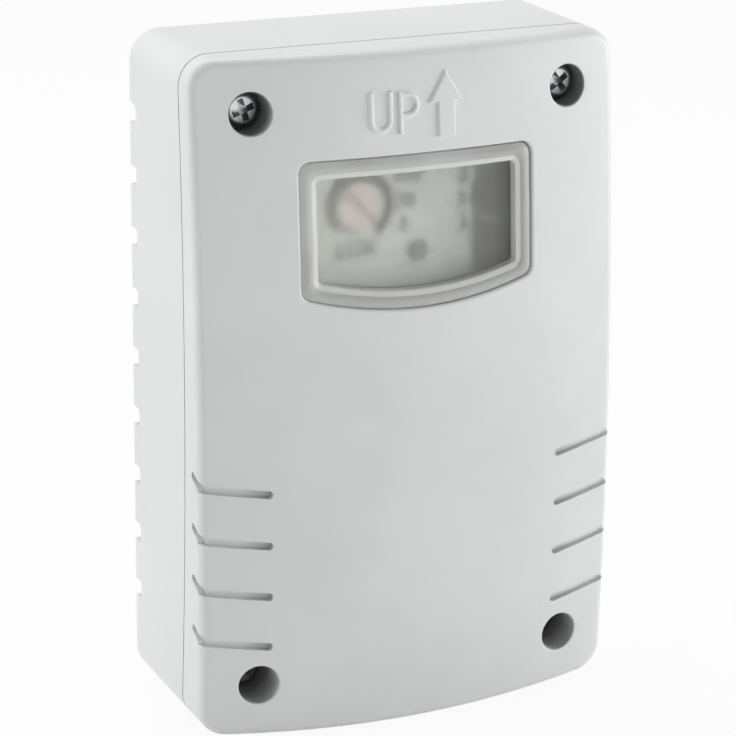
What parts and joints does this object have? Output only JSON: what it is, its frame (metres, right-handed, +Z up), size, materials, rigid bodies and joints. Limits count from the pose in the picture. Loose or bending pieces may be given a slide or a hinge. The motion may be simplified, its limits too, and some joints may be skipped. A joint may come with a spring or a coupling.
{
  "type": "twilight switch",
  "caption": "Surface-mounted twilight switch: a tall pale box with a bulging screwed cover, a frosted window over two setting dials and a light sensor, grip grooves and cable entries below.",
  "frame": {"origin": "centre of the wall face, midway between the two wall holes", "axes": "+X to the right seen from the front, +Y into the wall, +Z up"},
  "size_m": [0.072, 0.033, 0.1095],
  "materials": {
    "housing_plastic": "fine matt moulding",
    "cover_plastic": "fine matt moulding",
    "window_plastic": "frosted translucent",
    "seal_rubber": "matt",
    "screw_steel": "zinc plated",
    "grommet_rubber": "matt",
    "clamp_plastic": "matt moulding",
    "board_laminate": "solder mask",
    "panel_plastic": "matt moulding",
    "dial_plastic": "matt moulding",
    "dark_dial_plastic": "matt moulding",
    "potentiometer_body": "matt moulding",
    "sensor_resin": "clear resin",
    "lamp_resin": "clear resin",
    "spacer_plastic": "matt moulding",
    "relay_case": "matt moulding",
    "film_capacitor_case": "gloss moulding",
    "can_sleeve": "sleeved can",
    "varistor_coat": "dipped coat",
    "fuse_glass": "clear glass with plated caps",
    "clip_metal": "plated",
    "diode_case": "matt moulding",
    "resistor_coat": "lacquered",
    "chip_case": "matt moulding",
    "transistor_case": "matt moulding",
    "terminal_plastic": "matt moulding",
    "terminal_metal": "nickel plated",
    "terminal_steel": "zinc plated"
  },
  "bodies": {
    "housing": {"rear_housing": "housing_plastic", "cover_seal": "seal_rubber", "left_cable_grommet": "grommet_rubber", "right_cable_grommet": "grommet_rubber", "left_cable_clamp": "clamp_plastic", "right_cable_clamp": "clamp_plastic", "clamp_screws": "screw_steel", "circuit_board": "board_laminate", "board_screws": "screw_steel", "control_panel": "panel_plastic", "panel_screws": "screw_steel", "lux_potentiometer": "potentiometer_body", "time_potentiometer": "potentiometer_body", "light_sensor": "sensor_resin", "sensor_spacer": "spacer_plastic", "indicator_lamp": "lamp_resin", "lamp_spacer": "spacer_plastic", "relay": "relay_case", "dropper_capacitor": "film_capacitor_case", "smoothing_capacitor": "can_sleeve", "varistor": "varistor_coat", "fuse": "fuse_glass", "fuse_clips": "clip_metal", "rectifier_diodes": "diode_case", "resistors": "resistor_coat", "control_chip": "chip_case", "driver_transistor": "transistor_case", "terminal_block": "terminal_plastic", "terminal_clamps": "terminal_metal", "terminal_screws": "terminal_steel"},
    "cover": {"front_cover": "cover_plastic", "window_lens": "window_plastic", "cover_screws": "screw_steel"},
    "lux_dial": {"lux_dial": "dial_plastic"},
    "time_dial": {"time_dial": "dark_dial_plastic"}
  },
  "joints": [
    {"name": "cover_slide", "type": "slide", "parent": "housing", "child": "cover", "axis": [0, -1, 0], "range_m": [0, 0.06]},
    {"name": "lux_dial_turn", "type": "hinge", "parent": "housing", "child": "lux_dial", "pos_m": [-0.0065, -0.0172, 0.0282], "axis": [0, 1, 0], "range_deg": [-90, 180]},
    {"name": "time_dial_turn", "type": "hinge", "parent": "housing", "child": "time_dial", "pos_m": [0.0176, -0.0172, 0.0282], "axis": [0, 1, 0], "range_deg": [-105, 165]}
  ]
}
